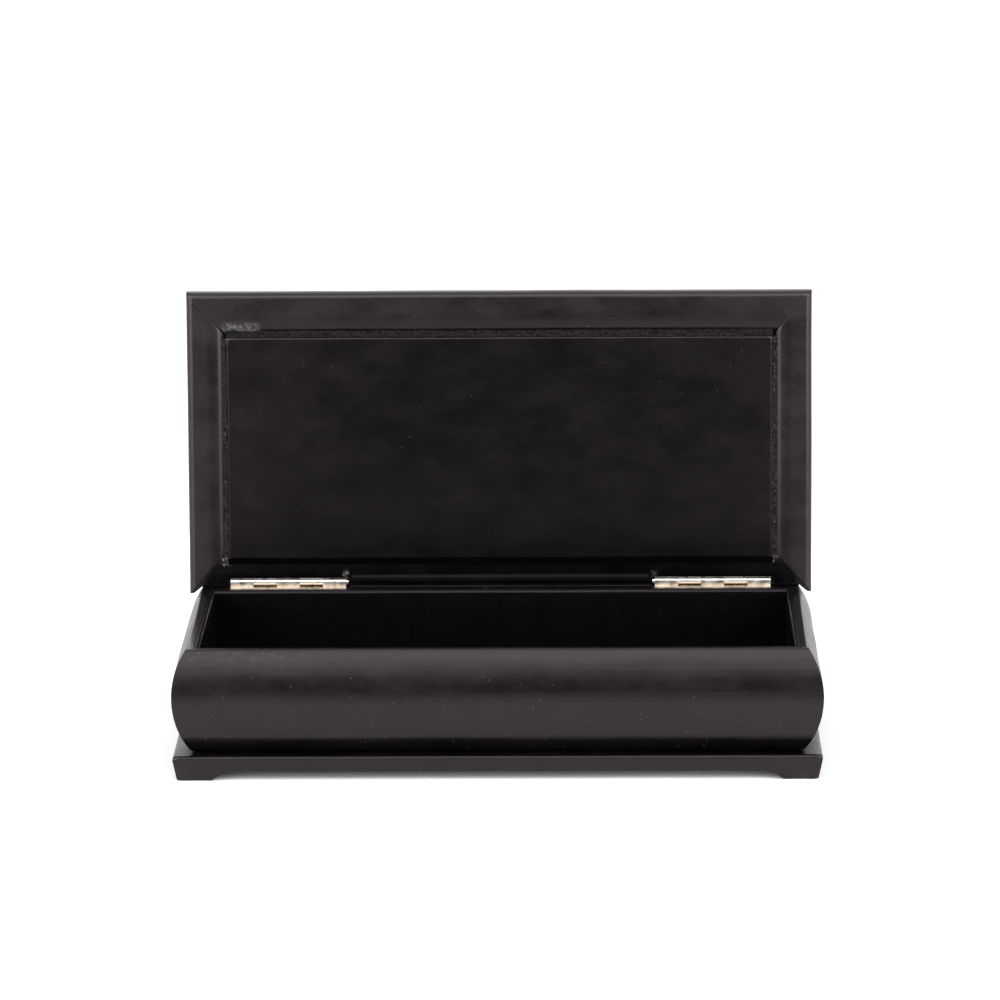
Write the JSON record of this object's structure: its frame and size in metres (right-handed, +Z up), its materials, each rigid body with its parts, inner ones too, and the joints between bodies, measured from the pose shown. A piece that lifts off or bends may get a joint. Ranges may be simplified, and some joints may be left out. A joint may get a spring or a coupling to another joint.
{
  "type": "trinket box",
  "caption": "Long low leather-covered trinket box with cushion-moulded walls, a bracket-foot plinth and a framed flat lid on butt hinges, stored open.",
  "frame": {"origin": "on the floor, under the middle of the open box's bounding box; the body's own middle is 3.3 mm in front of it", "axes": "+X along the front towards the viewer's right, +Y from the front to the hinged back, +Z up from the feet"},
  "size_m": [0.2056, 0.1074, 0.1394],
  "materials": {
    "leather": "black grained leather, satin, lightly dusty",
    "panel_leather": "black smooth leather, satin",
    "lining": "matt black lining cloth",
    "wood": "bare dark reddish-brown wood",
    "card": "pasteboard",
    "nickel": "smooth nickel-plated steel, slightly tarnished to brass colour"
  },
  "bodies": {
    "body": {"bottom_board": "wood", "floor_pad": "lining", "hinge_body_screws": "nickel", "hinge_left_body_leaf": "nickel", "hinge_left_pin": "nickel", "hinge_right_body_leaf": "nickel", "hinge_right_pin": "nickel", "lining_front": "lining", "lining_left": "lining", "lining_rear": "lining", "lining_right": "lining", "plinth_front_core": "wood", "plinth_front_leather": "leather", "plinth_left_core": "wood", "plinth_left_leather": "leather", "plinth_rear_core": "wood", "plinth_rear_leather": "leather", "plinth_right_core": "wood", "plinth_right_leather": "leather", "wall_front_core": "wood", "wall_front_leather": "leather", "wall_left_core": "wood", "wall_left_leather": "leather", "wall_rear_core": "wood", "wall_rear_leather": "leather", "wall_right_core": "wood", "wall_right_leather": "leather"},
    "lid": {"hinge_left_lid_leaf": "nickel", "hinge_lid_screws": "nickel", "hinge_right_lid_leaf": "nickel", "lid_board": "wood", "lid_front_rail_core": "wood", "lid_front_rail_leather": "leather", "lid_left_stile_core": "wood", "lid_left_stile_leather": "leather", "lid_panel_card": "card", "lid_panel_leather": "panel_leather", "lid_rear_rail_core": "wood", "lid_rear_rail_leather": "leather", "lid_right_stile_core": "wood", "lid_right_stile_leather": "leather", "lid_top_leather": "leather"}
  },
  "joints": [
    {"name": "lid_hinge", "type": "hinge", "parent": "body", "child": "lid", "pos_m": [0, 0.0443, 0.0433], "axis": [-1, 0, 0], "range_deg": [-92.5, 0]}
  ]
}
